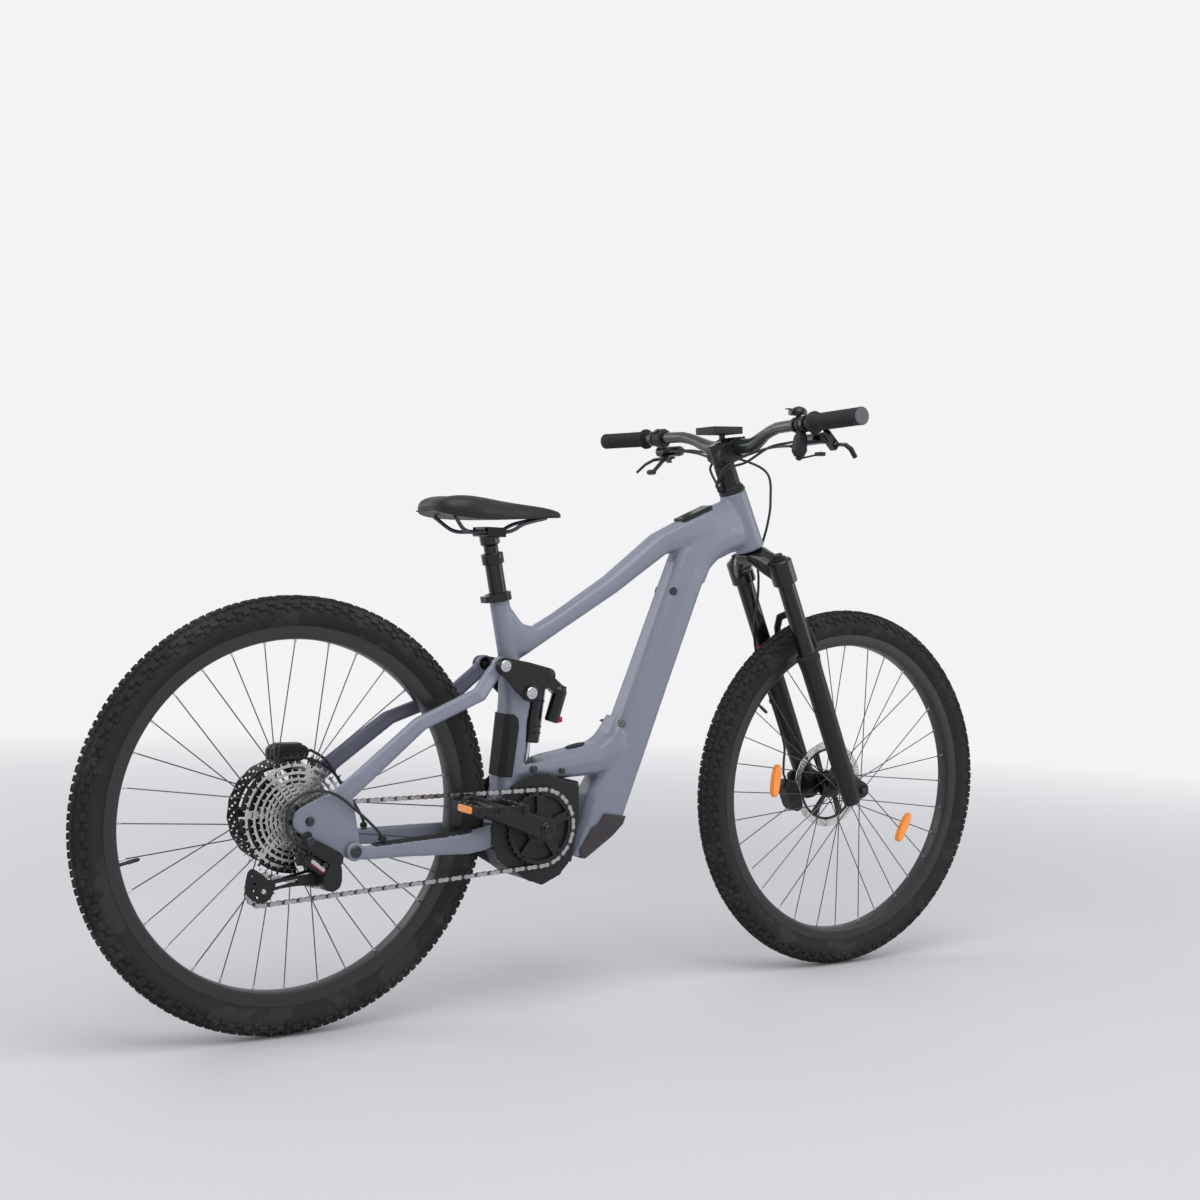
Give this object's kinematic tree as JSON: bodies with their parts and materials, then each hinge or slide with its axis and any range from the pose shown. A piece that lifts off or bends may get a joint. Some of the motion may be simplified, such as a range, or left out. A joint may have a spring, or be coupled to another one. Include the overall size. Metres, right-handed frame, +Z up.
{
  "type": "electric mountain bike",
  "caption": "Full-suspension electric mountain bike with a mid motor, linkage rear end, suspension fork, disc brakes, derailleur gears and a dropper seat post",
  "frame": {"origin": "on the ground, halfway between the two axles, in the bike's middle plane", "axes": "+X forwards, +Y to the rider's left, +Z up; the drive side is at -Y"},
  "size_m": [1.949, 0.8106, 1.109],
  "materials": {
    "bright_steel": "bright",
    "dark_steel": "dark",
    "frame_paint": "satin blue-grey paint on a fibre composite",
    "gloss_black": "gloss black",
    "guard_rubber": "matt black",
    "moulded_plastic": "fine texture",
    "saddle_cover": "matt synthetic cover over foam",
    "satin_black": "satin black",
    "tyre_rubber": "matt black"
  },
  "bodies": {
    "assist_button_group": {"assist_button": "gloss_black"},
    "frame": {"battery": "satin_black", "chain": "bright_steel", "control_plate": "gloss_black", "down_tube_guard": "guard_rubber", "dropper_outer": "gloss_black", "main_frame": "frame_paint", "motor_housing": "gloss_black", "seat_clamp": "gloss_black", "seat_tube_guard": "guard_rubber"},
    "bars_and_crown": {"bell": "gloss_black", "brake_master_left": "gloss_black", "brake_master_right": "gloss_black", "display": "moulded_plastic", "fork_crown": "gloss_black", "front_hoses": "satin_black", "grip_left": "tyre_rubber", "grip_right": "tyre_rubber", "handlebar": "satin_black", "headset_spacer": "satin_black", "remote_switch": "moulded_plastic", "shifter_body": "satin_black", "stem": "satin_black"},
    "bell_striker_group": {"bell_striker": "dark_steel"},
    "brake_lever_left_group": {"brake_lever_left": "dark_steel"},
    "brake_lever_right_group": {"brake_lever_right": "dark_steel"},
    "sprockets": {"cassette": "bright_steel"},
    "crank": {"chainring": "satin_black", "crank_arms": "satin_black"},
    "chainstay_group": {"chainstay": "frame_paint", "rear_brake_hose": "satin_black", "shift_housing": "satin_black"},
    "port_flap": {"charge_port_flap": "guard_rubber"},
    "seatstay_group": {"derailleur": "satin_black", "rear_axle": "dark_steel", "rear_caliper": "satin_black", "seatstay_left": "frame_paint", "seatstay_right": "frame_paint"},
    "derailleur_cage_group": {"derailleur_cage": "satin_black"},
    "seat_group": {"dropper_inner": "gloss_black", "saddle": "saddle_cover", "saddle_rails": "satin_black"},
    "dropper_lever_group": {"dropper_lever": "satin_black"},
    "fork_lower_group": {"fork_lowers": "satin_black", "front_axle": "dark_steel", "front_caliper": "satin_black"},
    "front_wheel": {"front_hub": "dark_steel", "front_rim": "satin_black", "front_rotor": "bright_steel", "front_tyre": "tyre_rubber"},
    "pedal_left_group": {"pedal_left": "satin_black"},
    "pedal_right_group": {"pedal_right": "satin_black"},
    "rear_wheel": {"rear_hub": "dark_steel", "rear_rim": "satin_black", "rear_rotor": "bright_steel", "rear_tyre": "tyre_rubber"},
    "rocker_group": {"rocker": "satin_black"},
    "shift_lever_group": {"shift_lever": "satin_black"},
    "shock_body_group": {"shock_body": "gloss_black"},
    "shock_shaft_group": {"shock_shaft": "bright_steel"}
  },
  "joints": [
    {"name": "steering", "type": "hinge", "parent": "frame", "child": "bars_and_crown", "pos_m": [0.34406, 0, 0.84714], "axis": [-0.4067, 0, 0.9135], "range_deg": [-55, 55]},
    {"name": "fork_travel", "type": "slide", "parent": "bars_and_crown", "child": "fork_lower_group", "axis": [-0.4067, 0, 0.9135], "range_m": [0, 0.145], "stiffness_N_per_m": 5000, "springref_m": -0.03, "deforming": ["front_hoses"]},
    {"name": "front_wheel_spin", "type": "hinge", "parent": "fork_lower_group", "child": "front_wheel", "pos_m": [0.60877, 0, 0.36569], "axis": [0, 1, 0], "continuous": true},
    {"name": "suspension", "type": "hinge", "parent": "frame", "child": "chainstay_group", "pos_m": [-0.20976, 0, 0.34369], "axis": [0, 1, 0], "range_deg": [0, 17.66], "stiffness_Nm_per_rad": 1200, "springref_deg": -6.88, "deforming": ["chain", "rear_brake_hose", "shift_housing"]},
    {"name": "horst_pivot", "type": "hinge", "parent": "chainstay_group", "child": "seatstay_group", "pos_m": [-0.53027, 0, 0.31269], "axis": [0, 1, 0], "range_deg": [-6, 0.5], "deforming": ["rear_brake_hose", "shift_housing"]},
    {"name": "rocker_turn", "type": "hinge", "parent": "frame", "child": "rocker_group", "pos_m": [-0.17876, 0, 0.56869], "axis": [0, 1, 0], "range_deg": [-1, 55]},
    {"name": "shock_swing", "type": "hinge", "parent": "frame", "child": "shock_shaft_group", "pos_m": [-0.15976, 0, 0.41869], "axis": [0, 1, 0], "range_deg": [-1, 8]},
    {"name": "shock_stroke", "type": "slide", "parent": "shock_shaft_group", "child": "shock_body_group", "axis": [-0.1071, 0, -0.9942], "range_m": [-0.001, 0.042]},
    {"name": "rear_wheel_spin", "type": "hinge", "parent": "seatstay_group", "child": "rear_wheel", "pos_m": [-0.60877, 0, 0.36569], "axis": [0, 1, 0], "continuous": true},
    {"name": "crank_spin", "type": "hinge", "parent": "frame", "child": "crank", "pos_m": [-0.15536, 0, 0.32769], "axis": [0, 1, 0], "continuous": true},
    {"name": "sprocket_spin", "type": "hinge", "parent": "seatstay_group", "child": "sprockets", "pos_m": [-0.60877, 0, 0.36569], "axis": [0, 1, 0], "continuous": true},
    {"name": "cage_swing", "type": "hinge", "parent": "seatstay_group", "child": "derailleur_cage_group", "pos_m": [-0.57277, -0.08, 0.26769], "axis": [0, 1, 0], "range_deg": [-25, 0], "stiffness_Nm_per_rad": 0.6, "springref_deg": 22.92, "deforming": ["chain"]},
    {"name": "pedal_spin_right", "type": "hinge", "parent": "crank", "child": "pedal_right_group", "pos_m": [-0.3107, 0, 0.38331], "axis": [0, 1, 0], "continuous": true},
    {"name": "pedal_spin_left", "type": "hinge", "parent": "crank", "child": "pedal_left_group", "pos_m": [-0.00002, 0, 0.27207], "axis": [0, 1, 0], "continuous": true},
    {"name": "dropper_travel", "type": "slide", "parent": "frame", "child": "seat_group", "axis": [-0.2164, 0, 0.9763], "range_m": [0, 0.15]},
    {"name": "charge_port_hinge", "type": "hinge", "parent": "frame", "child": "port_flap", "pos_m": [-0.03286, 0, 0.47219], "axis": [0, 1, 0], "range_deg": [0, 90]},
    {"name": "brake_pull_right", "type": "hinge", "parent": "bars_and_crown", "child": "brake_lever_right_group", "pos_m": [0.32621, -0.262, 1.03822], "axis": [-0.6712, 0, -0.7413], "range_deg": [0, 18], "stiffness_Nm_per_rad": 0.8, "springref_deg": -8.59},
    {"name": "brake_pull_left", "type": "hinge", "parent": "bars_and_crown", "child": "brake_lever_left_group", "pos_m": [0.32621, 0.262, 1.03822], "axis": [0.6712, 0, 0.7413], "range_deg": [0, 18], "stiffness_Nm_per_rad": 0.8, "springref_deg": -8.59},
    {"name": "shift_push", "type": "hinge", "parent": "bars_and_crown", "child": "shift_lever_group", "pos_m": [0.26934, -0.228, 1.01476], "axis": [0, 0, 1], "range_deg": [0, 15], "stiffness_Nm_per_rad": 0.1, "springref_deg": -11.46},
    {"name": "dropper_push", "type": "hinge", "parent": "bars_and_crown", "child": "dropper_lever_group", "pos_m": [0.28772, 0.223, 1.03369], "axis": [0, -1, 0], "range_deg": [0, 18], "stiffness_Nm_per_rad": 0.1, "springref_deg": -11.46},
    {"name": "bell_flick", "type": "hinge", "parent": "bars_and_crown", "child": "bell_striker_group", "pos_m": [0.25797, -0.212, 1.09254], "axis": [0, -1, 0], "range_deg": [0, 13], "stiffness_Nm_per_rad": 0.02, "springref_deg": -11.46},
    {"name": "assist_press", "type": "slide", "parent": "bars_and_crown", "child": "assist_button_group", "axis": [0.7001, 0, -0.7141], "range_m": [0, 0.0014], "stiffness_N_per_m": 400, "springref_m": -0.001}
  ],
  "couplings": [
    {"joint": "horst_pivot", "follows": "suspension", "ratio": -0.325},
    {"joint": "rocker_turn", "follows": "suspension", "ratio": 3.0546},
    {"joint": "shock_swing", "follows": "suspension", "ratio": 0.4027},
    {"joint": "shock_stroke", "follows": "suspension", "m_per_rad": 0.13139},
    {"joint": "sprocket_spin", "follows": "crank_spin", "ratio": 2.8333}
  ]
}
